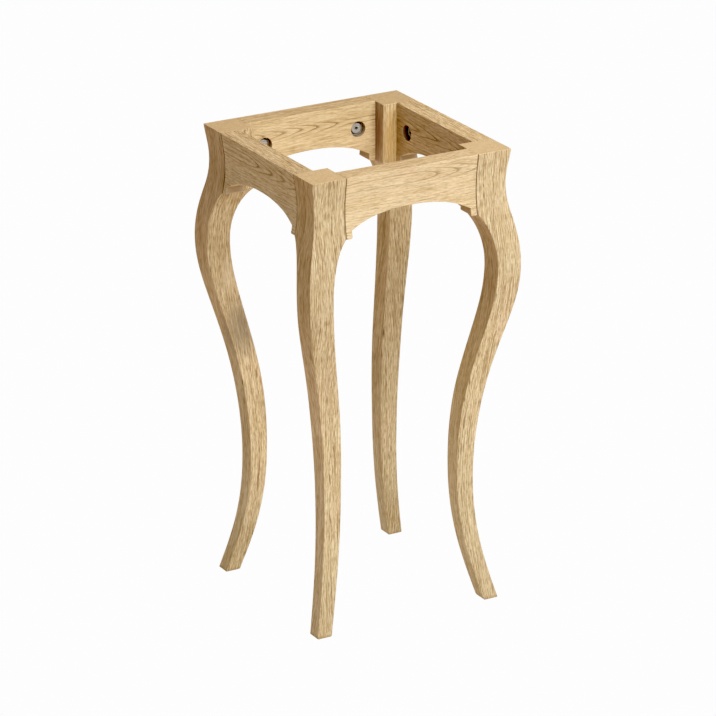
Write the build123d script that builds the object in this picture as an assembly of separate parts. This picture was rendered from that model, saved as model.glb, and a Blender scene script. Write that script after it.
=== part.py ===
from build123d import *
import os
from math import sqrt

# ---------------------------------------------------------------------------
# Square console table frame in oak: four S-curved legs, four arched aprons,
# knock-down joints with eccentric connectors, connecting bolts and dowels.
# Millimetres, +Z up, +X to the right along the front apron, -Y to the front.
# Origin: middle of the footprint, on the floor.
# ---------------------------------------------------------------------------

# driving dimensions
HEIGHT = 720.0            # floor to the top of posts and aprons
POST_IN = 110.6           # inner faces of the posts, from the middle
APRON_IN = 134.5          # inner faces of the aprons, from the middle
APRON_END_DEPTH = 93.6    # apron height at its ends
ARCH_CROWN_DEPTH = 60.0   # apron height at the crown of the arch
FOOT_STEP_X = 100.0       # where the small stepped foot of the apron begins
FOOT_HOLLOW_R = 2.0       # hollow corner above the stepped foot
FOOT_ROUND_R = 2.5        # rounded corner under it
ARRIS = 1.0               # eased long edges of the legs and the joint edges
SMALL_ARRIS = 0.6         # eased edges of the aprons
FOOT_CHAMFER = 1.6        # chamfer round the sole of each leg

CAM_BORE_D = 25.0         # bore in the apron for the eccentric connector
CAM_BORE_DEPTH = 19.8
CAM_D = 24.6
CAM_BODY_H = 11.4         # flange of the connector, from the bottom of the bore
CAM_BOSS_D = 17.2
CAM_H = 13.6              # flange and boss together
CAM_OFFSET = 30.0         # bore axis from the joint face
CAM_DEPTH = 40.0          # bore axis below the top
BOLT_PLANE = 6.6          # bolt axis above the bottom of the bore

BOLT_SHANK_D = 7.0
BOLT_HEAD_D = 6.8
BOLT_HEAD_H = 2.6
BOLT_NECK_D = 4.6
BOLT_NECK_L = 6.0
BOLT_THREAD_D = 6.0
BOLT_THREAD_L = 24.0
BOLT_COLLAR_D = 8.6
BOLT_COLLAR_T = 1.2
BOLT_HOLE_D = 8.0

DOWEL_D = 10.0
DOWEL_L = 40.0
DOWEL_UP_DEPTH = 16.0     # upper dowel axis below the top
DOWEL_LOW_DEPTH = 65.0    # lower dowel axis below the top
DOWEL_HOLE_EXTRA = 1.0    # glue room behind each dowel end
FIT = 0.05                # radial play of dowels and threads

# Leg profile: height above the floor, outer face, inner face (from the
# middle). The same template is sawn in X and in Y, so the section is square.
LEG = [
    (0.0,   157.35, 133.15),
    (16.4,  153.25, 128.80),
    (32.6,  149.25, 124.55),
    (49.0,  145.40, 120.45),
    (65.3,  141.90, 116.70),
    (81.6,  138.70, 113.20),
    (98.3,  135.95, 110.10),
    (114.6, 133.70, 107.45),
    (131.0, 131.90, 105.30),
    (147.3, 130.55, 103.50),
    (163.6, 129.60, 102.20),
    (180.0, 129.05, 101.20),
    (196.3, 128.85, 100.62),
    (212.6, 128.98, 100.36),
    (228.9, 129.48, 100.36),
    (245.6, 130.27, 100.62),
    (261.9, 131.42, 101.10),
    (278.2, 132.83, 101.92),
    (294.6, 134.58, 103.05),
    (310.9, 136.60, 104.50),
    (327.2, 138.93, 106.35),
    (343.5, 141.60, 108.55),
    (359.9, 144.55, 111.20),
    (376.5, 147.90, 114.15),
    (392.8, 151.50, 117.25),
    (409.2, 155.30, 120.50),
    (425.5, 159.30, 123.80),
    (441.8, 163.30, 127.05),
    (458.1, 167.25, 130.20),
    (474.5, 170.98, 133.10),
    (490.8, 174.20, 135.60),
    (507.1, 176.68, 137.50),
    (523.8, 178.24, 138.70),
    (540.1, 178.83, 139.10),
    (556.4, 178.47, 138.30),
    (572.7, 177.03, 135.95),
    (589.1, 174.60, 131.75),
    (605.4, 171.27, 125.20),
    (613.6, 169.40, 120.65),
    (619.5, 167.95, 116.70),
    (623.4, 166.98, 113.65),
    (626.4, 166.25, 110.60),
]
# Outer cyma of the post and of the aprons above the knee (height, outer)
CYMA = [
    (638.0, 163.90),
    (654.7, 161.85),
    (671.0, 161.45),
    (687.4, 162.60),
    (703.7, 164.90),
    (713.0, 166.25),
    (720.0, 167.05),
]

# Lower edge of the apron: distance from its middle, depth below the top
ARCH = [
    (0.0, 60.0),
    (16.7, 60.3),
    (33.3, 61.6),
    (50.0, 64.1),
    (66.6, 67.9),
    (76.6, 71.2),
    (86.6, 75.4),
    (95.0, 79.5),
    (100.0, 82.1),
]

JOINT_Z = HEIGHT - APRON_END_DEPTH
os.makedirs("parts", exist_ok=True)
TOP_OUT = CYMA[-1][1]


def save(shape, name):
    shape.label = name
    export_step(shape, "parts/%s.step" % name)


# ---------------------------------------------------------------------------
# legs
# ---------------------------------------------------------------------------

def outer_points():
    return [(o, z) for z, o, i in LEG] + [(o, z) for z, o in CYMA]


def leg_template():
    """Side view of the leg: outer curve, inner curve and straight post."""
    out = outer_points()
    inn = [(i, z) for z, o, i in LEG]
    with BuildLine() as ln:
        Spline(*out)
        Line(out[-1], (POST_IN, HEIGHT))
        Line((POST_IN, HEIGHT), inn[-1])
        Spline(*reversed(inn))
        Line(inn[0], out[0])
    return make_face(ln.line)


def leg_blank():
    """Leg of the +X +Y corner: the template sawn in both directions."""
    t = leg_template()
    far = 260.0
    # local (x, y) of the template are (outward, up)
    in_x = Plane(origin=(0, far, 0), x_dir=(1, 0, 0), z_dir=(0, -1, 0)) * t
    in_y = Plane(origin=(0, 0, 0), x_dir=(0, 1, 0), z_dir=(1, 0, 0)) * t
    a = extrude(in_x, amount=far)
    b = extrude(in_y, amount=far)
    return a & b


def ease_leg(body):
    long_edges = []
    for e in body.edges():
        bb = e.bounding_box()
        if bb.max.Z - bb.min.Z > 20:
            long_edges.append(e)
    body = fillet(long_edges, ARRIS)
    # the two outer arrises of the head
    head = []
    for e in body.edges():
        bb = e.bounding_box()
        span = max(bb.max.X - bb.min.X, bb.max.Y - bb.min.Y)
        if bb.min.Z > HEIGHT - 0.01 and span > 20 and \
                (bb.min.X > TOP_OUT - 1.2 or bb.min.Y > TOP_OUT - 1.2):
            head.append(e)
    body = fillet(head, SMALL_ARRIS)
    # chamfer round the sole: a frustum that widens upward at 45 degrees
    lo, hi = LEG[0][2], LEG[0][1]
    mid, side = (lo + hi) / 2, hi - lo
    block = Pos(mid, mid, 2.5) * Box(side + 30, side + 30, 5)
    cone = Pos(mid, mid, 0) * extrude(
        Rectangle(side - 2 * FOOT_CHAMFER, side - 2 * FOOT_CHAMFER), amount=5.5, taper=-45)
    return body - (block - cone)


def hole_x(d, x0, x1, y, z):
    """Round hole along X."""
    return Plane(origin=(x0, y, z), z_dir=(1 if x1 > x0 else -1, 0, 0)) * \
        extrude(Circle(d / 2), amount=abs(x1 - x0))


BOLT_AXIS = APRON_IN + CAM_BORE_DEPTH - BOLT_PLANE   # from the middle


def joint_tools():
    """Holes in a +X+Y leg for the joint on its -X face (rail along X)."""
    y = BOLT_AXIS
    tools = [hole_x(BOLT_THREAD_D + 2 * FIT, POST_IN - 1,
                    POST_IN + BOLT_THREAD_L + 1.5, y, HEIGHT - CAM_DEPTH)]
    for dep in (DOWEL_UP_DEPTH, DOWEL_LOW_DEPTH):
        tools.append(hole_x(DOWEL_D + 2 * FIT, POST_IN - 1,
                            POST_IN + DOWEL_L / 2 + DOWEL_HOLE_EXTRA, y,
                            HEIGHT - dep))
    return tools


def swap_xy(shape):
    """Reflect a shape of the +X+Y corner in the diagonal plane X = Y."""
    p = Plane(origin=(0, 0, 0), z_dir=(1, -1, 0))
    return mirror(shape, about=p)


def make_leg():
    body = ease_leg(leg_blank())
    cut = joint_tools()
    cut = cut + [swap_xy(c) for c in cut]
    for c in cut:
        body = body - c
    return body


leg = make_leg()
leg_s = leg.solids()[0]
leg_back_right = leg_s
leg_back_left = mirror(leg_s, about=Plane.YZ)
leg_front_right = mirror(leg_s, about=Plane.XZ)
leg_front_left = mirror(leg_back_left, about=Plane.XZ)

for nm, s in (("leg_back_right", leg_back_right), ("leg_back_left", leg_back_left),
              ("leg_front_right", leg_front_right), ("leg_front_left", leg_front_left)):
    save(s, nm)

# ---------------------------------------------------------------------------
# aprons: modelled at the back (+Y), then turned to the other sides
# ---------------------------------------------------------------------------

def apron_blank():
    # section across the rail: flat inner face, cyma outer face
    cy = [(o, z) for z, o, i in LEG if z >= JOINT_Z - 13] + [(o, z) for z, o in CYMA]
    with BuildLine() as ln:
        Spline(*cy)
        Line(cy[-1], (APRON_IN, HEIGHT))
        Line((APRON_IN, HEIGHT), (APRON_IN, cy[0][1]))
        Line((APRON_IN, cy[0][1]), cy[0])
    sec = make_face(ln.line)
    sec = Plane(origin=(-POST_IN, 0, 0), x_dir=(0, 1, 0), z_dir=(1, 0, 0)) * sec
    body = extrude(sec, amount=2 * POST_IN)
    # front view of the rail with its arch and stepped feet
    half = [(x, HEIGHT - d) for x, d in ARCH]
    left = [(-x, z) for x, z in reversed(half[1:])]
    pts = left + half
    with BuildLine() as fr:
        Spline(*pts)
        Polyline(pts[-1], (FOOT_STEP_X, JOINT_Z), (POST_IN, JOINT_Z), (POST_IN, HEIGHT),
                 (-POST_IN, HEIGHT), (-POST_IN, JOINT_Z), (-FOOT_STEP_X, JOINT_Z), pts[0])
    front = make_face(fr.line)
    hollow = [v for v in front.vertices()
              if abs(abs(v.X) - FOOT_STEP_X) < 0.01 and v.Y > JOINT_Z + 1]
    front = fillet(hollow, FOOT_HOLLOW_R)
    corner = [v for v in front.vertices()
              if abs(abs(v.X) - FOOT_STEP_X) < 0.01 and abs(v.Y - JOINT_Z) < 0.01]
    front = fillet(corner, FOOT_ROUND_R)
    front = Plane(origin=(0, 260, 0), x_dir=(1, 0, 0), z_dir=(0, -1, 0)) * front
    return body & extrude(front, amount=260)


def ease_apron(body):
    """Joint edges chamfered; top arrises and both edges of the arch eased."""
    ends = []
    for e in body.edges():
        bb = e.bounding_box()
        at_end = abs(abs((bb.max.X + bb.min.X) / 2) - POST_IN) < 0.01
        if at_end and bb.max.Z - bb.min.Z > 40 and bb.max.Y > APRON_IN + 5:
            ends.append(e)
    body = chamfer(ends, ARRIS)
    top = []
    for e in body.edges():
        bb = e.bounding_box()
        if bb.max.X - bb.min.X > 60 and bb.min.Z > HEIGHT - 1:
            top.append(e)
    body = fillet(top, SMALL_ARRIS)
    inner = [e for e in body.edges()
             if e.bounding_box().max.Y < APRON_IN + 0.01
             and e.bounding_box().max.Z < HEIGHT - 40]
    body = fillet(inner, SMALL_ARRIS)
    outer = [e for e in body.edges()
             if e.bounding_box().min.Y > APRON_IN + 10
             and e.bounding_box().max.Z < HEIGHT - 40]
    return fillet(outer, SMALL_ARRIS)


def make_apron():
    body = ease_apron(apron_blank())
    for s in (-1, 1):
        cx = s * (POST_IN - CAM_OFFSET)
        z = HEIGHT - CAM_DEPTH
        bore = Plane(origin=(cx, APRON_IN - 5, z), z_dir=(0, 1, 0)) * \
            extrude(Circle(CAM_BORE_D / 2), amount=CAM_BORE_DEPTH + 5)
        body = body - bore
        body = body - hole_x(BOLT_HOLE_D, cx, s * (POST_IN + 1), BOLT_AXIS, z)
        # counterbore that seats the bolt's collar
        body = body - hole_x(BOLT_COLLAR_D + 0.4, s * (POST_IN - BOLT_COLLAR_T - 0.3),
                             s * (POST_IN + 1), BOLT_AXIS, z)
        for dep in (DOWEL_UP_DEPTH, DOWEL_LOW_DEPTH):
            body = body - hole_x(DOWEL_D + 2 * FIT,
                                 s * (POST_IN - DOWEL_L / 2 - DOWEL_HOLE_EXTRA),
                                 s * (POST_IN + 1), BOLT_AXIS, HEIGHT - dep)
    return body


# ---------------------------------------------------------------------------
# hardware of the +X end of the back rail
# ---------------------------------------------------------------------------

def make_cam():
    """Eccentric connector at the +X end of the back rail. Its axis is Y, its
    face looks to -Y; the bolt enters from +X."""
    cx = POST_IN - CAM_OFFSET
    z = HEIGHT - CAM_DEPTH
    base_y = APRON_IN + CAM_BORE_DEPTH
    pl = Plane(origin=(cx, base_y, z), x_dir=(1, 0, 0), z_dir=(0, -1, 0))
    flange = extrude(Circle(CAM_D / 2), amount=CAM_BODY_H)
    flange = chamfer(flange.edges().group_by(Axis.Z)[-1], 0.7)
    boss = Pos(0, 0, CAM_BODY_H) * extrude(Circle(CAM_BOSS_D / 2), amount=CAM_H - CAM_BODY_H)
    boss = chamfer(boss.edges().group_by(Axis.Z)[-1], 0.5)
    cam = flange + boss
    # shallow ring groove in the flange beside the boss
    ring = Pos(0, 0, CAM_BODY_H - 0.6) * (
        extrude(Circle(CAM_BOSS_D / 2 + 1.3), amount=2)
        - extrude(Circle(CAM_BOSS_D / 2), amount=2))
    cam = cam - ring
    # hexagon socket, 5 mm across flats
    cam = cam - Pos(0, 0, CAM_H - 3.0) * extrude(
        RegularPolygon(radius=2.5 * 2 / sqrt(3), side_count=6), amount=5)
    # eccentric pocket for the bolt head, and the slot that its neck runs in
    pocket = Pos(-1.2, 0, BOLT_PLANE - 3.6) * extrude(Circle(7.7), amount=7.2)
    cam = cam - pocket
    cam = cam - Pos(0, 0, BOLT_PLANE) * (Rot(0, 90, 0) * extrude(Circle(2.7), amount=15))
    # wide mouth a quarter turn from it, where the head goes in
    cam = cam - Pos(0, 0, BOLT_PLANE) * (Rot(-90, 0, 0) * extrude(Circle(3.8), amount=15))
    # slot in the wall between the mouth and the resting place of the neck
    slot = Pos(0, 0, BOLT_PLANE - 2.7) * extrude(
        (Circle(13) & Pos(7, 7) * Rectangle(14, 14)), amount=5.4)
    keep = Pos(0, 0, BOLT_PLANE - 3.2) * extrude(Circle(6.0), amount=6.4)
    cam = cam - (slot - keep)
    return pl * cam


def make_bolt():
    """Connecting bolt at the +X end of the back rail, along X."""
    cx = POST_IN - CAM_OFFSET
    z = HEIGHT - CAM_DEPTH
    head_in = cx + 2.6                      # inner side of the bolt's head
    x = head_in
    prof = [
        (x, 0.0), (x + 0.6, BOLT_HEAD_D / 2 - 0.7), (x + 1.3, BOLT_HEAD_D / 2),
        (x + BOLT_HEAD_H, BOLT_HEAD_D / 2), (x + BOLT_HEAD_H, BOLT_NECK_D / 2),
        (cx + CAM_D / 2 + 0.6, BOLT_NECK_D / 2),
        (cx + CAM_D / 2 + 1.6, BOLT_SHANK_D / 2),
        (POST_IN - BOLT_COLLAR_T, BOLT_SHANK_D / 2),
        (POST_IN - BOLT_COLLAR_T, BOLT_COLLAR_D / 2),
        (POST_IN, BOLT_COLLAR_D / 2),
        (POST_IN, BOLT_THREAD_D / 2),
        (POST_IN + BOLT_THREAD_L - 2.2, BOLT_THREAD_D / 2),
        (POST_IN + BOLT_THREAD_L, 1.2),
        (POST_IN + BOLT_THREAD_L, 0.0),
    ]
    with BuildLine() as ln:
        Polyline(*prof, close=True)
    f = make_face(ln.line)
    b = revolve(f, Axis((0, 0, 0), (1, 0, 0)), 360)
    return Pos(0, BOLT_AXIS, z) * b


def make_dowel(depth):
    """Round dowel with chamfered ends and shallow grooves, along X."""
    d = extrude(Circle(DOWEL_D / 2), amount=DOWEL_L)
    d = chamfer(d.edges().filter_by(GeomType.CIRCLE), 1.2)
    for k in range(12):
        g = Rot(0, 0, 30 * k) * (Pos(DOWEL_D / 2 + 0.15, 0, -1) *
                                 extrude(Circle(0.55), amount=DOWEL_L + 2))
        d = d - g
    d = Plane(origin=(POST_IN - DOWEL_L / 2, BOLT_AXIS, HEIGHT - depth), z_dir=(1, 0, 0)) * d
    return d


apron = make_apron().solids()[0]
cam = make_cam().solids()[0]
bolt = make_bolt().solids()[0]
dowel_up = make_dowel(DOWEL_UP_DEPTH).solids()[0]
dowel_low = make_dowel(DOWEL_LOW_DEPTH).solids()[0]

# side name, turn about Z that takes the back rail there
SIDES = (("back", 0.0), ("left", 90.0), ("front", 180.0), ("right", 270.0))
# the two joints of each side: end (+1 is +X at the back) and the leg it meets
JOINTS = {
    "back": ((1, "back_right"), (-1, "back_left")),
    "left": ((1, "back_left"), (-1, "front_left")),
    "front": ((1, "front_left"), (-1, "front_right")),
    "right": ((1, "front_right"), (-1, "back_right")),
}

for side, ang in SIDES:
    turn = Rot(0, 0, ang)
    save(turn * apron, "apron_%s" % side)
    for end, legname in JOINTS[side]:
        tag = "%s_at_%s" % (side, legname)
        for base, piece in (("cam", cam), ("bolt", bolt),
                            ("dowel_upper", dowel_up), ("dowel_lower", dowel_low)):
            p = piece if end == 1 else mirror(piece, about=Plane.YZ)
            save(turn * p, "%s_%s" % (base, tag))

print("leg volume cm3", round(leg_s.volume / 1000, 1),
      "apron", round(apron.volume / 1000, 1),
      "cam", round(cam.volume / 1000, 2), "bolt", round(bolt.volume / 1000, 2))
bb = leg_s.bounding_box()
print("leg box", bb.min, bb.max)
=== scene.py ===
import math

import bpy
from mathutils import Matrix, Vector

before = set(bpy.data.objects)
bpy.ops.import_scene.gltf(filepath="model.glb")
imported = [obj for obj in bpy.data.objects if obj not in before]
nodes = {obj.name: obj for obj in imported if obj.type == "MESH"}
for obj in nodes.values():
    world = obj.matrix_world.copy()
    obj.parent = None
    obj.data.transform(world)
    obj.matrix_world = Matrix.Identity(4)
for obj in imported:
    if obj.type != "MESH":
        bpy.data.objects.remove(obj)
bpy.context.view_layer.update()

scene = bpy.context.scene


# ---------------------------------------------------------------- shader graph helper
def lin(r, g, b):
    """A colour given as 0-255 display values, as the linear RGBA that shaders use."""
    out = []
    for c in (r, g, b):
        c /= 255.0
        out.append(c / 12.92 if c <= 0.04045 else ((c + 0.055) / 1.055) ** 2.4)
    return (out[0], out[1], out[2], 1.0)


class Graph:
    def __init__(self, name):
        self.mat = bpy.data.materials.new(name)
        self.mat.use_nodes = True
        self.tree = self.mat.node_tree
        self.tree.nodes.clear()
        self.out = self.tree.nodes.new("ShaderNodeOutputMaterial")

    def node(self, kind, **props):
        n = self.tree.nodes.new(kind)
        for k, v in props.items():
            setattr(n, k, v)
        return n

    def put(self, socket, value):
        if isinstance(value, bpy.types.NodeSocket):
            self.tree.links.new(value, socket)
        elif value is not None:
            socket.default_value = value

    def math(self, op, a, b=None, c=None, clamp=False):
        n = self.node("ShaderNodeMath", operation=op, use_clamp=clamp)
        for i, v in enumerate((a, b, c)):
            self.put(n.inputs[i], v)
        return n.outputs[0]

    def add(self, a, b):
        return self.math("ADD", a, b)

    def sub(self, a, b):
        return self.math("SUBTRACT", a, b)

    def mul(self, a, b):
        return self.math("MULTIPLY", a, b)

    def vec(self, op, a, b=None, scale=None):
        n = self.node("ShaderNodeVectorMath", operation=op)
        self.put(n.inputs[0], a)
        if b is not None:
            self.put(n.inputs[1], b)
        if scale is not None:
            self.put(n.inputs["Scale"], scale)
        return n.outputs["Value"] if op in ("DOT_PRODUCT", "LENGTH", "DISTANCE") else n.outputs[0]

    def xyz(self, v):
        n = self.node("ShaderNodeSeparateXYZ")
        self.put(n.inputs[0], v)
        return n.outputs[0], n.outputs[1], n.outputs[2]

    def join(self, x, y, z):
        n = self.node("ShaderNodeCombineXYZ")
        for i, v in enumerate((x, y, z)):
            self.put(n.inputs[i], v)
        return n.outputs[0]

    def noise(self, vector, scale=1.0, detail=2.0, rough=0.5, colour=False):
        n = self.node("ShaderNodeTexNoise", noise_dimensions="3D")
        self.put(n.inputs["Vector"], vector)
        n.inputs["Scale"].default_value = scale
        n.inputs["Detail"].default_value = detail
        n.inputs["Roughness"].default_value = rough
        return n.outputs["Color"] if colour else n.outputs[0]

    def noise1(self, w, scale=1.0, detail=1.0):
        n = self.node("ShaderNodeTexNoise", noise_dimensions="1D")
        self.put(n.inputs["W"], w)
        n.inputs["Scale"].default_value = scale
        n.inputs["Detail"].default_value = detail
        return n.outputs[0]

    def white1(self, w):
        n = self.node("ShaderNodeTexWhiteNoise", noise_dimensions="1D")
        self.put(n.inputs["W"], w)
        return n.outputs["Value"]

    def range(self, value, a, b, c=0.0, d=1.0, smooth=False):
        n = self.node("ShaderNodeMapRange", clamp=True)
        if smooth:
            n.interpolation_type = "SMOOTHSTEP"
        self.put(n.inputs["Value"], value)
        n.inputs["From Min"].default_value = a
        n.inputs["From Max"].default_value = b
        n.inputs["To Min"].default_value = c
        n.inputs["To Max"].default_value = d
        return n.outputs[0]

    def ramp(self, fac, stops, interp="LINEAR"):
        n = self.node("ShaderNodeValToRGB")
        n.color_ramp.interpolation = interp
        e = n.color_ramp.elements
        while len(e) < len(stops):
            e.new(0.5)
        for el, (pos, v) in zip(e, stops):
            el.position = pos
            el.color = v if isinstance(v, tuple) else (v, v, v, 1.0)
        self.put(n.inputs[0], fac)
        return n.outputs[0]

    def mix(self, fac, a, b, blend="MIX"):
        n = self.node("ShaderNodeMix", data_type="RGBA", blend_type=blend, clamp_factor=True)
        self.put(n.inputs[0], fac)
        self.put(n.inputs[6], a)
        self.put(n.inputs[7], b)
        return n.outputs[2]

    def blob(self, p, centre, radii):
        """1 at centre falling to 0 at the ellipsoid of those radii (millimetres)."""
        q = self.vec("SUBTRACT", p, centre)
        q = self.vec("MULTIPLY", q, tuple(1.0 / r for r in radii))
        return self.range(self.vec("LENGTH", q), 1.0, 0.15, 0.0, 1.0, smooth=True)

    def millimetres(self):
        tc = self.node("ShaderNodeTexCoord")
        return self.vec("SCALE", tc.outputs["Object"], scale=1000.0)

    def arris_mask(self, radius_mm, low, high):
        """How near a sharp arris a point is: 0 on flats, 1 on the arris."""
        bevel = self.node("ShaderNodeBevel", samples=4)
        bevel.inputs["Radius"].default_value = radius_mm / 1000.0
        geo = self.node("ShaderNodeNewGeometry")
        turn = self.vec("DOT_PRODUCT", bevel.outputs[0], geo.outputs["Normal"])
        return self.range(turn, high, low, 0.0, 1.0)


# ---------------------------------------------------------------- oak
LIGHT = lin(221, 194, 151)
MID = lin(206, 177, 132)
LINE = lin(150, 117, 76)
PORE = lin(122, 91, 54)
BLUSH = lin(214, 172, 134)
PALE = lin(236, 213, 174)
BORE_SHADE_COLOUR = lin(178, 155, 132)
JOINT_SHADE_COLOUR = lin(92, 64, 36)
CAST_SHADOW_GREY = lin(146, 129, 106)
KNOT = lin(96, 66, 36)
CORNER_SHADE_COLOUR = lin(138, 105, 79)
SHADE = lin(150, 120, 78)


def finish_oak(g, p, c, z, joint_shade, edge_amount, rough_parts, height):
    """Arrises paler, partly rubbed wear and partly a painted highlight; darker towards the bottom; painted shade in the
    joint gaps; then gloss and relief.
    """
    coarse, fine, fibre = rough_parts
    # the arrises are paler: partly rubbed wear, partly a painted highlight along the edges
    edge = g.arris_mask(1.5, 0.80, 0.995)
    c = g.mix(g.mul(edge, edge_amount), c, PALE)
    # painted shade in the joint gaps between legs and rails
    c = g.mix(joint_shade, c, JOINT_SHADE_COLOUR)
    c = g.mix(g.range(z, 140.0, 10.0, 0.0, 0.16, smooth=True), c, LINE)
    c = g.mix(g.range(z, 7.0, 0.5, 0.0, 0.50, smooth=True), c, LINE)
    bsdf = g.node("ShaderNodeBsdfPrincipled")
    g.put(bsdf.inputs["Base Color"], c)
    rough = g.range(coarse, 0.0, 1.0, 0.58, 0.78)
    rough = g.add(rough, g.mul(edge, -0.06))
    rough = g.add(rough, g.mul(g.sub(fibre, 0.5), 0.14))
    g.put(bsdf.inputs["Roughness"], rough)
    bsdf.inputs["IOR"].default_value = 1.45
    bsdf.inputs["Specular IOR Level"].default_value = 0.32
    bump = g.node("ShaderNodeBump")
    bump.inputs["Strength"].default_value = 0.55
    bump.inputs["Distance"].default_value = 0.00028
    g.put(bump.inputs["Height"], height)
    g.put(bsdf.inputs["Normal"], bump.outputs[0])
    g.tree.links.new(bsdf.outputs[0], g.out.inputs["Surface"])
    return g.mat


def rail_oak(
    name,
    along,
    pith,
    taper,
    ring,
    seed,
    light=LIGHT,
    mid=MID,
    wave=2.5,
    line=0.75,
    dash=0.20,
    width=1.2,
    top_line=0.80,
    flank=(3.0, 32.0, 0.20),
    skin=5.0,
    tip=0.0,
    start=-95.0,
    rows=0.55,
    stop=400.0,
    core=(24.0, 6.0),
    marks=(),
    bores=(),
    bore_shade=BORE_SHADE_COLOUR,
    joint_shades=(0.0, 0.0),
    piece_tone_and_light=(1.0, 1.0, 1.0),
    top_tone_and_light=(1.0, 1.0, 1.0),
):
    """Oak rail with its grain along X or Y. The growth rings are cones about a pith line just under the
    outer face, so they surface there as a row of nested V figures; away from the pith they run straight."""
    g = Graph(name)
    p = g.millimetres()
    x, y, z = g.xyz(p)
    l, d = (x, y) if along == "X" else (y, x)
    geo = g.node("ShaderNodeNewGeometry")
    nx, ny, nz = g.xyz(geo.outputs["Normal"])
    end = g.range(g.math("ABSOLUTE", nx if along == "X" else ny), 0.75, 0.95, smooth=True)
    top = g.range(g.math("ABSOLUTE", nz), 0.60, 0.80, smooth=True)
    flat = g.math("GREATER_THAN", g.math("ABSOLUTE", nz), 0.70)

    base = g.join(d, z, l)
    slow = g.noise(
        g.vec("ADD", g.vec("MULTIPLY", base, (1 / 60, 1 / 60, 1 / 150)), (seed, seed * 1.7, seed * 0.6)),
        detail=1.5, colour=True,
    )
    sx, sy, _ = g.xyz(g.vec("SUBTRACT", slow, (0.5, 0.5, 0.5)))
    fast = g.noise(
        g.vec("ADD", g.vec("MULTIPLY", base, (1 / 7, 1 / 7, 1 / 26)), (seed * 2.3, 4.0, seed)),
        detail=2.0, colour=True,
    )
    fx, fy, _ = g.xyz(g.vec("SUBTRACT", fast, (0.5, 0.5, 0.5)))
    u = g.add(g.sub(d, pith[0]), g.add(g.mul(sx, wave * 2.0), g.mul(fx, 1.8)))
    v = g.add(g.sub(z, pith[1]), g.add(g.mul(sy, wave * 2.0), g.mul(fy, 1.8)))
    r = g.vec("LENGTH", g.join(u, v, 0.0))
    fade = g.range(g.math("ABSOLUTE", v), flank[0], flank[1], 1.0, flank[2], smooth=True)
    # the V figures begin at `start`; one has its point at `tip`, where the pith lies `skin` under the face
    run = g.sub(l, start) if taper > 0 else g.sub(start, l)
    run = g.math("SMOOTH_MAX", run, 0.0, 12.0)
    run = g.math("SMOOTH_MIN", run, stop, 12.0)
    grown = g.add(r, g.mul(g.mul(run, fade), abs(taper)))
    grown = g.add(grown, 120.0 * ring - skin - abs(taper) * abs(tip - start))
    q = g.mul(grown, 1.0 / ring)
    f = g.math("FRACT", q)
    near_pith = g.range(g.math("ABSOLUTE", v), core[0], core[1], 0.0, 1.0, smooth=True)
    luck = g.white1(g.add(g.math("FLOOR", q), seed))
    strength = g.math("MAXIMUM", g.range(luck, 0.1, 0.9, 0.25, 1.0), g.mul(near_pith, g.range(luck, 0.0, 1.0, 0.62, 1.0)))
    early = g.ramp(f, [(0.0, 0.0), (0.05, 1.0), (0.18, 0.80), (0.32, 0.16), (0.60, 0.03), (1.0, 0.0)])
    early = g.mul(early, strength)
    early = g.mul(early, g.range(top, 0.0, 1.0, 1.0, top_line))

    # pores: short dashes along the grain, in the plane of each face
    a = g.add(g.mul(z, g.sub(1.0, flat)), g.mul(d, flat))
    a = g.add(a, g.add(g.mul(sy, wave * 2.0), g.mul(fy, 0.9)))
    side = g.mul(g.math("GREATER_THAN", g.math("ABSOLUTE", d), 145.0), g.sub(1.0, flat))
    face = g.add(g.add(g.mul(flat, 17.3), g.mul(side, 5.9)), seed)

    def streaks(wide, long, offset, detail=0.0):
        return g.noise(
            g.join(g.mul(a, 1.0 / wide), g.add(g.mul(l, 1.0 / long), offset), face), detail=detail, rough=0.5
        )

    short = streaks(width, 13.0, 3.1)
    tiny = streaks(width * 0.8, 6.0, 11.7)
    fibre = streaks(width, 48.0, 23.0)
    broken = streaks(ring * 0.45, 9.0, 53.0)
    bands = streaks(9.0, 160.0, 31.0, 1.0)
    broad = g.noise(
        g.vec("ADD", g.vec("MULTIPLY", base, (1 / 45, 1 / 45, 1 / 90)), (seed * 3.1, 7.0, 2.0)), detail=2.0
    )
    coarse = g.range(short, 0.52, 0.68, smooth=True)
    fine = g.range(tiny, 0.54, 0.70, smooth=True)

    c = g.mix(g.range(g.add(g.mul(bands, 0.55), g.mul(broad, 0.45)), 0.36, 0.64), mid, light)
    c = g.mix(g.mul(g.range(broad, 0.55, 0.75, smooth=True), 0.35), c, BLUSH)
    k = g.range(top, 0.0, 1.0, 1.0, 1.6)
    c = g.mix(g.mul(g.range(fibre, 0.50, 0.72), g.mul(k, 0.30)), c, LINE)
    c = g.mix(g.mul(g.range(fibre, 0.50, 0.28), g.mul(k, 0.35)), c, PALE)
    c = g.mix(g.mul(g.range(short, 0.48, 0.30), g.mul(k, 0.25)), c, PALE)
    c = g.mix(g.mul(fine, g.mul(k, dash * 0.80)), c, PORE)
    c = g.mix(g.mul(coarse, g.mul(k, dash)), c, PORE)
    # away from the pith a ring line breaks up into rows of pores
    whole = g.math("MAXIMUM", g.range(broken, 0.40, 0.60, 0.15, rows, smooth=True), near_pith)
    c = g.mix(g.mul(g.mul(early, whole), line), c, PORE)

    for colour, amount, centre, radii in marks:
        spot = g.mul(g.blob(p, centre, radii), g.range(bands, 0.30, 0.60, 0.55, 1.0))
        c = g.mix(g.mul(spot, amount), c, colour)
    # whole-piece colour factor: partly the board's own tone, partly painted light and shade
    if piece_tone_and_light != (1.0, 1.0, 1.0):
        c = g.mix(1.0, c, (*piece_tone_and_light, 1.0), blend="MULTIPLY")
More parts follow.
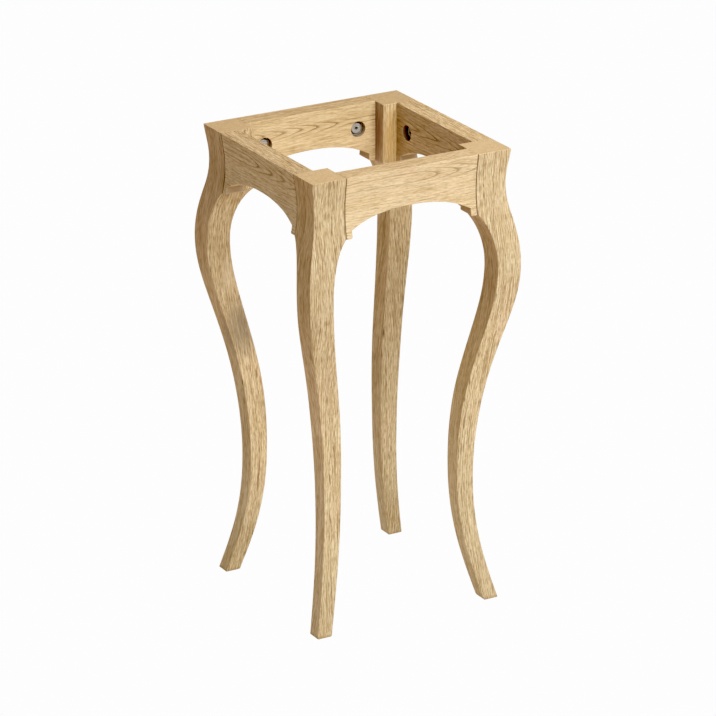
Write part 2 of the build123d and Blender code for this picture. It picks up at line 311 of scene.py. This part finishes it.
    # painted light and shade on the top faces
    if top_tone_and_light != (1.0, 1.0, 1.0):
        c = g.mix(top, c, g.mix(1.0, c, (*top_tone_and_light, 1.0), blend="MULTIPLY"))

    # cut ends are darker and more even
    c = g.mix(g.mul(end, 0.55), c, MID)
    c = g.mix(end, c, g.mix(1.0, c, (0.81, 0.82, 0.92, 1.0), blend="MULTIPLY"))

    # painted shade on the drilled wall inside the bore round a connector
    for centre, axis in bores:
        q = g.vec("SUBTRACT", p, centre)
        across = g.vec("MULTIPLY", q, (0.0 if axis == "X" else 1.0, 0.0 if axis == "Y" else 1.0, 1.0))
        away = g.vec("LENGTH", across)
        deep = g.vec("DOT_PRODUCT", q, {"X": (math.copysign(1, centre[0]), 0, 0), "Y": (0, math.copysign(1, centre[1]), 0)}[axis])
        bore_shade_mask = g.mul(g.range(away, 12.75, 12.60), g.mul(g.range(deep, 0.25, 0.9), g.range(deep, 20.6, 20.1)))
        c = g.mix(g.mul(bore_shade_mask, 0.92), c, bore_shade)

    # painted shade in the joint gaps at both ends of the rail
    ends = g.add(g.mul(g.range(l, -109.1, -109.9), joint_shades[0]), g.mul(g.range(l, 109.1, 109.9), joint_shades[1]))
    joint_shade = g.math("MULTIPLY", ends, g.sub(1.0, top), clamp=True)
    height = g.sub(g.mul(fibre, 0.35), g.add(g.mul(coarse, 0.75), g.mul(fine, 0.45)))
    height = g.sub(height, g.mul(early, 0.40))
    return finish_oak(g, p, c, z, joint_shade, 0.25, (coarse, fine, fibre), height)


def leg_oak(
    name,
    corner,
    seed,
    light=LIGHT,
    mid=MID,
    dash=0.34,
    ring=3.1,
    rings=0.63,
    width=1.2,
    length=12.0,
    line=0.30,
    side=0.55,
    follow=0.35,
    marks=(),
    joint_shades=(0.0, 0.0),
    piece_tone_and_light=(1.0, 1.0, 1.0),
    side_light_tint=(1.0, 1.0, 1.0),
    side_head_shade=(1.0, 1.0, 1.0),
    light_levels=(1.0,) * 6,
    side_light_levels=(1.0,) * 6,
    top_tone_and_light=(0.94, 0.935, 0.95),
):
    """Oak leg with upright grain: long fine lines and short pores that lean a little with the curve.
    The pattern lies in the plane of each face, wider on the two faces that look along X."""
    g = Graph(name)
    p = g.millimetres()
    x, y, z = g.xyz(p)
    geo = g.node("ShaderNodeNewGeometry")
    nx, ny, nz = g.xyz(geo.outputs["Normal"])
    m = g.math("GREATER_THAN", g.math("ABSOLUTE", nx), g.math("ABSOLUTE", ny))
    rest = g.sub(1.0, m)
    end = g.range(g.math("ABSOLUTE", nz), 0.80, 0.97, smooth=True)

    # the S curve of the centre line, held straight in the post
    bend = g.math("SINE", g.mul(g.sub(g.math("MINIMUM", z, 600.0), 40.0), 2.0 * math.pi / 640.0))
    bend = g.mul(bend, -22.0 * follow)
    ux = g.sub(x, g.mul(bend, corner[0]))
    uy = g.sub(y, g.mul(bend, corner[1]))
    face = g.add(g.add(g.mul(m, 31.7), g.mul(g.math("GREATER_THAN", nx, 0.5), 13.1)), seed)
    face = g.add(face, g.mul(g.math("GREATER_THAN", ny, 0.5), 7.9))
    a = g.add(g.mul(ux, rest), g.mul(uy, g.mul(m, 0.62)))
    sway = g.noise(g.join(g.mul(a, 1 / 26.0), g.mul(z, 1 / 75.0), face), detail=1.0)
    jitter = g.noise(g.join(g.mul(a, 1 / 6.0), g.mul(z, 1 / 22.0), g.add(face, 5.0)), detail=1.0)
    a = g.add(a, g.add(g.mul(g.sub(sway, 0.5), 4.0), g.mul(g.sub(jitter, 0.5), 1.0)))

    def streaks(wide, long, offset, detail=0.0):
        return g.noise(
            g.join(g.mul(a, 1.0 / wide), g.add(g.mul(z, 1.0 / long), offset), face), detail=detail, rough=0.5
        )

    wob = streaks(7.0, 60.0, 61.0)
    q = g.add(g.mul(a, 1.0 / ring), g.mul(g.sub(wob, 0.5), 2.4))
    f = g.math("FRACT", q)
    luck = g.white1(g.add(g.add(g.math("FLOOR", q), 500.0), face))
    row = g.ramp(f, [(0.0, 0.0), (0.08, 1.0), (0.26, 1.0), (0.40, 0.10), (0.75, 0.0), (1.0, 0.0)])
    row = g.mul(row, g.range(luck, 0.0, 1.0, 0.35, 1.0))
    broken = g.noise(g.join(g.mul(q, 1.6), g.add(g.mul(z, 1.0 / 12.0), 71.0), face), detail=1.0, rough=0.6)
    row = g.mul(row, g.range(broken, 0.36, 0.62, 0.12, 1.0, smooth=True))
    short = streaks(width, length, 3.1)
    tiny = streaks(width * 0.8, length * 0.45, 11.7)
    fibre = streaks(width, 48.0, 23.0)
    long = streaks(width * 1.15, 110.0, 41.0)
    bands = streaks(8.0, 170.0, 31.0, 1.0)
    broad = g.noise(
        g.vec("ADD", g.vec("MULTIPLY", p, (1 / 45, 1 / 45, 1 / 120)), (seed * 3.1, 7.0, 2.0)), detail=2.0
    )
    coarse = g.range(short, 0.53, 0.68, smooth=True)
    fine = g.range(tiny, 0.54, 0.70, smooth=True)

    c = g.mix(g.range(g.add(g.mul(bands, 0.60), g.mul(broad, 0.40)), 0.36, 0.64), mid, light)
    c = g.mix(g.mul(g.range(broad, 0.55, 0.75, smooth=True), 0.30), c, BLUSH)
    k = g.add(rest, g.mul(m, side))
    c = g.mix(g.mul(g.range(fibre, 0.50, 0.70), g.mul(k, line)), c, LINE)
    c = g.mix(g.mul(g.range(fibre, 0.50, 0.30), g.mul(k, 0.50)), c, PALE)
    c = g.mix(g.mul(g.range(long, 0.59, 0.71, smooth=True), g.mul(k, 0.62)), c, LINE)
    c = g.mix(g.mul(g.range(short, 0.48, 0.32), g.mul(k, 0.35)), c, PALE)
    c = g.mix(g.mul(fine, g.mul(k, dash * 0.60)), c, PORE)
    c = g.mix(g.mul(coarse, g.mul(k, dash)), c, PORE)
    c = g.mix(g.mul(row, g.mul(k, rings)), c, PORE)

    for colour, amount, centre, radii in marks:
        spot = g.mul(g.blob(p, centre, radii), g.range(bands, 0.30, 0.60, 0.55, 1.0))
        c = g.mix(g.mul(spot, amount), c, colour)

    # end grain: smoother and more even, with a faint speckle of cut pores
    speck = g.noise(p, scale=0.16, detail=3.0, rough=0.75)
    ends = g.mix(g.range(speck, 0.42, 0.58), mid, light)
    ends = g.mix(g.mul(g.range(speck, 0.55, 0.75), 0.5), ends, LINE)
    ends = g.mix(g.mul(g.range(g.noise(p, scale=0.07, detail=1.0), 0.40, 0.60), 0.35), ends, MID)
    # the end-grain tops are tinted as a whole, partly their own tone and partly painted light and shade
    ends = g.mix(1.0, ends, (*top_tone_and_light, 1.0), blend="MULTIPLY")
    # painted light and shade on the faces that look along X
    if side_light_tint != (1.0, 1.0, 1.0):
        c = g.mix(m, c, g.mix(1.0, c, (*side_light_tint, 1.0), blend="MULTIPLY"))
    # painted shade on the faces toward −X, growing toward the head of the leg
    if side_head_shade != (1.0, 1.0, 1.0):
        head_shade = g.mul(g.mul(m, g.math("LESS_THAN", nx, 0.0)), g.range(z, 370.0, 540.0, smooth=True))
        c = g.mix(head_shade, c, g.mix(1.0, c, (*side_head_shade, 1.0), blend="MULTIPLY"))
    # painted light and shade: the brightness changes a little along the leg, otherwise on the faces that look along Y
    # than along X
    at = [v / 721.0 for v in (60.0, 185.0, 315.0, 440.0, 560.0, 670.0)]
    high = g.math("MULTIPLY", z, 1.0 / 721.0, clamp=True)
    light_drift = [g.ramp(high, [(h, 0.5 * v) for h, v in zip(at, row_of)]) for row_of in (light_levels, side_light_levels)]
    light_drift = g.mix(m, light_drift[0], light_drift[1])
    c = g.mix(1.0, g.mix(1.0, c, light_drift, blend="MULTIPLY"), (2.0, 2.0, 2.0, 1.0), blend="MULTIPLY")
    c = g.mix(end, c, ends)
    # whole-piece colour factor: partly the board's own tone, partly painted light and shade
    if piece_tone_and_light != (1.0, 1.0, 1.0):
        c = g.mix(1.0, c, (*piece_tone_and_light, 1.0), blend="MULTIPLY")

    ax, ay = g.math("ABSOLUTE", x), g.math("ABSOLUTE", y)
    b = g.add(g.mul(ax, rest), g.mul(ay, m))
    d = g.add(g.mul(ay, rest), g.mul(ax, m))
    # painted shade in the joint gap beside the rail
    joint_shade = g.mul(g.range(b, 111.9, 111.1), g.mul(g.range(d, 136.0, 140.0), g.range(z, 622.0, 626.0)))
    joint_shade = g.mul(joint_shade, g.add(g.mul(rest, joint_shades[0]), g.mul(m, joint_shades[1])))
    # and painted shade along the line where a post goes in behind the inner face of a rail
    inner = g.mul(g.range(b, 133.0, 134.3), g.mul(g.range(d, 114.0, 112.0), g.range(z, 624.0, 628.0)))
    joint_shade = g.math("MAXIMUM", joint_shade, g.mul(inner, 0.55))
    joint_shade = g.math("MULTIPLY", joint_shade, g.sub(1.0, end), clamp=True)
    height = g.sub(g.mul(fibre, 0.45), g.add(g.mul(coarse, 0.55), g.add(g.mul(fine, 0.35), g.mul(row, 0.50))))
    return finish_oak(g, p, c, z, joint_shade, 0.30, (coarse, fine, fibre), height)


def bores_of(side):
    """Centres of the two bore mouths in the inner face of an apron, and the axis they run along."""
    at = {"front": (None, -134.5), "back": (None, 134.5), "left": (-134.5, None), "right": (134.5, None)}[side]
    axis = "X" if at[0] is not None else "Y"
    return [(tuple(e * 80.6 if a is None else a for a in at) + (680.0,), axis) for e in (-1, 1)]


# On each piece the whole-piece and top-face colour factors are partly the board's own tone and partly painted light and
# shade; the side, head and along-the-leg factors are painted light and shade.
OAK = {
    "apron_front": rail_oak("oak_apron_front", "X", (-158.5, 703.0), 0.115, 4.2, 2.0, tip=87.0, skin=5.0, start=16.0, core=(18.0, 6.0),
                            light=lin(228, 203, 161), mid=lin(217, 189, 144), wave=2.0,
                            bores=bores_of("front"), joint_shades=(0.60, 0.60),
                            piece_tone_and_light=(1.0, 0.98, 0.965), top_tone_and_light=(0.97, 0.97, 0.96)),
    "apron_back": rail_oak("oak_apron_back", "X", (138.5, 695.0), 0.125, 3.9, 5.0, tip=-53.0, skin=4.0, start=-100.0, stop=162.0, line=0.80,
                           rows=0.40, flank=(2.0, 40.0, 0.25), core=(13.0, 4.0), dash=0.15,
                           wave=1.6, bores=bores_of("back"), piece_tone_and_light=(1.00, 0.98, 0.94),
                           top_tone_and_light=(0.95, 0.95, 0.97)),
    "apron_left": rail_oak("oak_apron_left", "Y", (-158.5, 701.0), -0.11, 4.4, 9.0, tip=-86.5, skin=5.0, start=30.0,
                           wave=2.0, bores=bores_of("left"), joint_shades=(0.20, 0.70), piece_tone_and_light=(1.10, 1.16, 1.22),
                           marks=[(KNOT, 0.80, (-157.0, 110.0, 688.0), (12.0, 3.4, 18.0)),
                                  (KNOT, 0.95, (-157.0, 110.0, 646.0), (12.0, 3.4, 26.0))],
                           top_tone_and_light=(0.87, 0.82, 0.78)),
    "apron_right": rail_oak("oak_apron_right", "Y", (138.5, 693.5), -0.075, 4.4, 13.0, tip=-8.5, skin=4.0, start=100.0, flank=(2.0, 42.0, 0.30),
                            wave=2.0, line=0.85, bores=bores_of("right"), bore_shade=lin(138, 116, 98), core=(18.0, 5.0),
                            piece_tone_and_light=(0.91, 0.89, 0.90), top_tone_and_light=(1.14, 1.17, 1.14),
                            # painted warm shade in the corner, near the back end of the rail's inner face
                            marks=[(CORNER_SHADE_COLOUR, 0.45, (134.5, 112.0, 672.0), (12.0, 44.0, 60.0))]),
    "leg_front_left": leg_oak("oak_leg_front_left", (-1, -1), 17.0, joint_shades=(0.55, 0.2), rings=0.74,
                              side_light_tint=(1.08, 1.07, 1.10), side_head_shade=(0.88, 0.88, 0.84),
                              light_levels=(1.0, 1.05, 1.05, 0.99, 0.93, 0.95), side_light_levels=(0.98, 1.0, 1.04, 0.98, 1.0, 1.03),
                              marks=[(KNOT, 0.50, (-167.0, -159.0, 456.0), (9.0, 4.5, 24.0))]),
    "leg_front_right": leg_oak("oak_leg_front_right", (1, -1), 21.0, joint_shades=(0.55, 0.2),
                               light=lin(226, 199, 155), mid=lin(212, 184, 139), side_light_tint=(0.98, 0.97, 0.95),
                               side_head_shade=(0.82, 0.79, 0.79),
                               light_levels=(0.96, 0.98, 1.04, 1.04, 0.96, 0.98), side_light_levels=(0.92, 0.97, 0.98, 0.98, 1.03, 1.0),
                               marks=[(KNOT, 0.50, (109.4, -133.9, 287.0), (2.2, 4.0, 15.0)), (KNOT, 0.50, (106.4, -130.2, 244.0), (2.2, 4.0, 15.0)),
                                      (KNOT, 0.50, (112.4, -143.4, 355.0), (2.2, 4.0, 14.0)), (KNOT, 0.50, (121.4, -154.2, 405.0), (2.4, 4.0, 13.0)),
                                      (KNOT, 0.45, (162.8, -178.7, 537.0), (2.4, 4.0, 14.0))]),
    "leg_back_left": leg_oak("oak_leg_back_left", (-1, 1), 25.0, joint_shades=(0.2, 0.60), rings=0.70, side_head_shade=(0.95, 0.94, 0.96),
                             light_levels=(0.92, 1.12, 1.12, 1.08, 1.03, 1.0), side_light_levels=(1.0, 1.0, 0.95, 1.03, 1.10, 0.98),
                             # painted soft cast shadow across the face toward −Y
                             marks=[(CAST_SHADOW_GREY, 0.85, (-134.0, 110.0, 408.0), (44.0, 46.0, 68.0)),
                                    (PALE, 0.60, (-145.0, 128.0, 488.0), (20.0, 26.0, 44.0)),
                                    (SHADE, 0.95, (-157.0, 104.0, 600.0), (13.0, 24.0, 120.0)),
                                    (KNOT, 0.80, (-157.0, 110.0, 688.0), (12.0, 3.4, 18.0)),
                                    (KNOT, 0.95, (-157.0, 110.0, 646.0), (12.0, 3.4, 26.0)),
                                    (KNOT, 0.70, (-138.0, 108.5, 320.0), (8.0, 3.2, 8.0)),
                                    (KNOT, 0.60, (-134.0, 111.0, 287.0), (8.0, 2.8, 9.0))]),
    "leg_back_right": leg_oak("oak_leg_back_right", (1, 1), 29.0, joint_shades=(0.2, 0.2),
                              piece_tone_and_light=(0.96, 0.96, 0.96), light_levels=(0.92, 1.01, 0.87, 0.87, 1.13, 1.12),
                              side_light_levels=(0.93, 0.97, 0.96, 1.04, 1.12, 1.0),
                              # painted warm bounce light on the head's face toward −Y
                              marks=[(lin(206, 168, 106), 0.90, (124.0, 107.0, 668.0), (26.0, 9.0, 86.0)),
                                     (KNOT, 0.80, (110.6, 110.4, 353.0), (2.8, 2.8, 26.0)),
                                     (KNOT, 0.50, (104.3, 126.0, 308.0), (4.0, 3.0, 14.0)),
                                     (KNOT, 0.50, (112.0, 105.4, 320.0), (2.4, 4.0, 16.0)),
                                     # painted shade in the inner corner, on the post's face toward −X
                                     (lin(134, 103, 98), 0.95, (110.6, 134.0, 680.0), (14.0, 32.0, 92.0))]),
}


# ---------------------------------------------------------------- metal and beech
def zinc(name, lit_level):
    """Dull die-cast zinc, with painted shade in the socket and in the ring groove round the boss."""
    g = Graph(name)
    p = g.millimetres()
    x, y, z = g.xyz(p)
    up = g.sub(z, 680.0)
    along_x = g.vec("LENGTH", g.join(g.sub(g.math("ABSOLUTE", x), 80.6), up, 0.0))
    along_y = g.vec("LENGTH", g.join(g.sub(g.math("ABSOLUTE", y), 80.6), up, 0.0))
    away = g.math("MINIMUM", along_x, along_y)
    cloud = g.noise(p, scale=0.42, detail=3.0, rough=0.6)
    grit = g.noise(p, scale=2.2, detail=2.0)
    c = g.mix(g.range(cloud, 0.35, 0.65), lin(164, 159, 144), lin(208, 200, 188))
    c = g.mix(g.mul(g.range(grit, 0.50, 0.66, smooth=True), 0.55), c, lin(122, 114, 100))
    flange = g.range(away, 8.4, 8.8)
    c = g.mix(g.mul(flange, 0.55), c, lin(150, 134, 108))
    # painted shade in the ring groove round the boss
    groove = g.mul(g.range(away, 7.5, 8.3), g.range(away, 10.4, 9.8))
    c = g.mix(g.mul(groove, 0.80), c, lin(84, 78, 68))
    # painted shade in the socket
    socket = g.range(away, 2.5, 2.1)
    c = g.mix(g.mul(socket, 0.92), c, lin(46, 44, 42))
    edge = g.mul(g.arris_mask(0.5, 0.75, 0.99), g.sub(1.0, socket))
    c = g.mix(g.mul(edge, 0.35), c, lin(232, 228, 220))
    # painted shade: a level below 1 darkens the whole colour, for the cams in the right apron, which sit in shade
    c = g.mix(1.0, c, (lit_level, lit_level * (2.0 - lit_level) ** 0.35, lit_level * (2.0 - lit_level) ** 0.8, 1.0), blend="MULTIPLY")
    # the recesses with painted shade are also less metallic
    recess_shade = g.math("MAXIMUM", groove, socket)
    bsdf = g.node("ShaderNodeBsdfPrincipled")
    g.put(bsdf.inputs["Base Color"], c)
    g.put(bsdf.inputs["Metallic"], g.range(recess_shade, 0.0, 1.0, 0.40 * lit_level, 0.05))
    g.put(bsdf.inputs["Roughness"], g.add(g.range(cloud, 0.3, 0.7, 0.42, 0.58), g.mul(grit, 0.10)))
    bump = g.node("ShaderNodeBump")
    bump.inputs["Strength"].default_value = 0.4
    bump.inputs["Distance"].default_value = 0.00012
    g.put(bump.inputs["Height"], g.add(g.mul(cloud, 0.5), g.mul(grit, 0.5)))
    g.put(bsdf.inputs["Normal"], bump.outputs[0])
    g.tree.links.new(bsdf.outputs[0], g.out.inputs["Surface"])
    return g.mat


def steel():
    g = Graph("steel_bolt")
    p = g.millimetres()
    grit = g.noise(p, scale=2.6, detail=3.0, rough=0.6)
    cloud = g.noise(p, scale=0.25, detail=2.0)
    c = g.mix(cloud, lin(150, 148, 142), lin(192, 190, 182))
    c = g.mix(g.mul(g.range(grit, 0.55, 0.75, smooth=True), 0.5), c, lin(96, 90, 80))
    c = g.mix(g.mul(g.arris_mask(0.4, 0.75, 0.99), 0.5), c, lin(222, 220, 214))
    bsdf = g.node("ShaderNodeBsdfPrincipled")
    g.put(bsdf.inputs["Base Color"], c)
    bsdf.inputs["Metallic"].default_value = 0.9
    g.put(bsdf.inputs["Roughness"], g.range(grit, 0.3, 0.7, 0.30, 0.50))
    bump = g.node("ShaderNodeBump")
    bump.inputs["Strength"].default_value = 0.35
    bump.inputs["Distance"].default_value = 0.0001
    g.put(bump.inputs["Height"], grit)
    g.put(bsdf.inputs["Normal"], bump.outputs[0])
    g.tree.links.new(bsdf.outputs[0], g.out.inputs["Surface"])
    return g.mat


def beech(along):
    g = Graph("beech_dowel_" + along.lower())
    p = g.millimetres()
    stretch = {"X": (1 / 14, 1 / 0.8, 1 / 0.8), "Y": (1 / 0.8, 1 / 14, 1 / 0.8)}[along]
    fibre = g.noise(g.vec("MULTIPLY", p, stretch), detail=3.0, rough=0.6)
    flecks = g.noise(g.vec("MULTIPLY", p, tuple(s * 1.6 for s in stretch)), scale=2.0, detail=1.0)
    c = g.mix(fibre, lin(214, 178, 134), lin(232, 203, 164))
    c = g.mix(g.mul(g.range(flecks, 0.58, 0.70, smooth=True), 0.5), c, lin(158, 112, 72))
    c = g.mix(g.mul(g.arris_mask(0.5, 0.75, 0.99), 0.4), c, lin(236, 212, 178))
    bsdf = g.node("ShaderNodeBsdfPrincipled")
    g.put(bsdf.inputs["Base Color"], c)
    g.put(bsdf.inputs["Roughness"], g.range(fibre, 0.3, 0.7, 0.55, 0.75))
    bsdf.inputs["Specular IOR Level"].default_value = 0.32
    bump = g.node("ShaderNodeBump")
    bump.inputs["Strength"].default_value = 0.4
    bump.inputs["Distance"].default_value = 0.00015
    g.put(bump.inputs["Height"], fibre)
    g.put(bsdf.inputs["Normal"], bump.outputs[0])
    g.tree.links.new(bsdf.outputs[0], g.out.inputs["Surface"])
    return g.mat


# the cams in the right apron get a darker copy of the zinc, as painted shade
ZINC, ZINC_SHADED, STEEL = zinc("zinc_cam", 1.0), zinc("zinc_cam_shaded", 0.74), steel()
BEECH = {"X": beech("X"), "Y": beech("Y")}

for name, o in nodes.items():
    if name in OAK:
        m = OAK[name]
    elif name.startswith("cam_"):
        m = ZINC_SHADED if name.startswith("cam_right") else ZINC
    elif name.startswith("bolt_"):
        m = STEEL
    else:
        side = name.split("_at_")[0].split("_")[-1]
        m = BEECH["X" if side in ("front", "back") else "Y"]
    o.data.materials.clear()
    o.data.materials.append(m)

# ---------------------------------------------------------------- camera
AZ, EL = math.radians(-29.662), math.radians(20.832)
DIST = 6.4178
back = Vector((math.sin(AZ) * math.cos(EL), -math.cos(AZ) * math.cos(EL), math.sin(EL)))
right = (-back).cross(Vector((0, 0, 1))).normalized()
up = right.cross(-back).normalized()
turn = math.radians(-0.148)
right2 = right * math.cos(turn) + up * math.sin(turn)
up2 = up * math.cos(turn) - right * math.sin(turn)
target = Vector((0.00223 * math.cos(AZ), 0.00223 * math.sin(AZ), 0.36850))
lens = bpy.data.cameras.new("camera")
lens.sensor_width = 36.0
lens.lens = 36.0 * 4256.0 / 716.0
lens.clip_start, lens.clip_end = 0.05, 60.0
camera = bpy.data.objects.new("camera", lens)
scene.collection.objects.link(camera)
place = Matrix((right2, up2, back)).transposed().to_4x4()
place.translation = target + back * DIST
camera.matrix_world = place
scene.camera = camera

# ---------------------------------------------------------------- stage and light
WHITE = 0.984
AROUND = (0.205, 0.212, 0.250)  # dim surroundings
FLOOR_NEAR = (1.06, 1.05, 1.03)  # the floor's own glow beside the object
FLOOR_FAR = (0.80, 0.62, 0.52)

g = Graph("pale_floor")
path = g.node("ShaderNodeLightPath")
geo = g.node("ShaderNodeNewGeometry")
spot = g.vec("LENGTH", g.vec("MULTIPLY", geo.outputs["Position"], (1.0, 1.0, 0.0)))
near = g.range(spot, 0.30, 1.60, 1.0, 0.0, smooth=True)
seen = g.node("ShaderNodeEmission")
seen.inputs["Color"].default_value = (1, 1, 1, 1)
seen.inputs["Strength"].default_value = WHITE
cast = g.node("ShaderNodeEmission")
g.put(cast.inputs["Color"], g.mix(near, (*FLOOR_FAR, 1), (*FLOOR_NEAR, 1)))
cast.inputs["Strength"].default_value = 1.0
clear = g.node("ShaderNodeBsdfTransparent")
both = g.node("ShaderNodeMixShader")
g.put(both.inputs[0], path.outputs["Is Camera Ray"])
g.put(both.inputs[1], cast.outputs[0])
g.put(both.inputs[2], seen.outputs[0])
sided = g.node("ShaderNodeMixShader")
g.put(sided.inputs[0], geo.outputs["Backfacing"])
g.put(sided.inputs[1], both.outputs[0])
g.put(sided.inputs[2], clear.outputs[0])
g.tree.links.new(sided.outputs[0], g.out.inputs["Surface"])
mesh = bpy.data.meshes.new("floor")
mesh.from_pydata([(-4, -4, 0), (4, -4, 0), (4, 4, 0), (-4, 4, 0)], [], [(0, 1, 2, 3)])
floor = bpy.data.objects.new("floor", mesh)
floor.data.materials.append(g.mat)
floor.location = (0, 0, -0.0002)
scene.collection.objects.link(floor)

world = bpy.data.worlds.new("studio")
scene.world = world
world.use_nodes = True
w = Graph.__new__(Graph)
w.tree = world.node_tree
w.tree.nodes.clear()
w_out = w.node("ShaderNodeOutputWorld")
w_path = w.node("ShaderNodeLightPath")
w_seen = w.node("ShaderNodeBackground")
w_seen.inputs["Color"].default_value = (1, 1, 1, 1)
w_seen.inputs["Strength"].default_value = WHITE
w_cast = w.node("ShaderNodeBackground")
w_cast.inputs["Color"].default_value = (*AROUND, 1)
w_cast.inputs["Strength"].default_value = 1.0
w_mix = w.node("ShaderNodeMixShader")
w.put(w_mix.inputs[0], w_path.outputs["Is Camera Ray"])
w.put(w_mix.inputs[1], w_cast.outputs[0])
w.put(w_mix.inputs[2], w_seen.outputs[0])
w.tree.links.new(w_mix.outputs[0], w_out.inputs["Surface"])


def softbox(name, where, size, power, colour, aim=(0.0, 0.0, 0.40)):
    d = bpy.data.lights.new(name, "AREA")
    d.shape = "RECTANGLE"
    d.size, d.size_y = size
    d.energy = power
    d.color = colour
    o = bpy.data.objects.new(name, d)
    scene.collection.objects.link(o)
    o.location = where
    o.rotation_euler = (Vector(aim) - Vector(where)).to_track_quat("-Z", "Y").to_euler()
    return o


# a wide cool soft box in front of the object and a warm one hung over it
softbox("key", (0.20, -2.6, 2.30), (2.6, 1.6), 118.7, (0.742, 0.850, 0.970))
softbox("overhead", (0.20, -0.20, 3.0), (1.8, 1.8), 31.0, (1.0, 0.826, 0.634))

scene.view_settings.view_transform = "Standard"
scene.view_settings.look = "None"
scene.view_settings.exposure = 0.0
scene.view_settings.gamma = 1.0
# contrast: the darkest tones are set a little below the light that reaches the lens
BLACK = 0.06
scene.view_settings.use_curve_mapping = True
tone = scene.view_settings.curve_mapping
tone.black_level = (BLACK, BLACK, BLACK)
tone.white_level = (1.0, 1.0, 1.0)
tone.update()
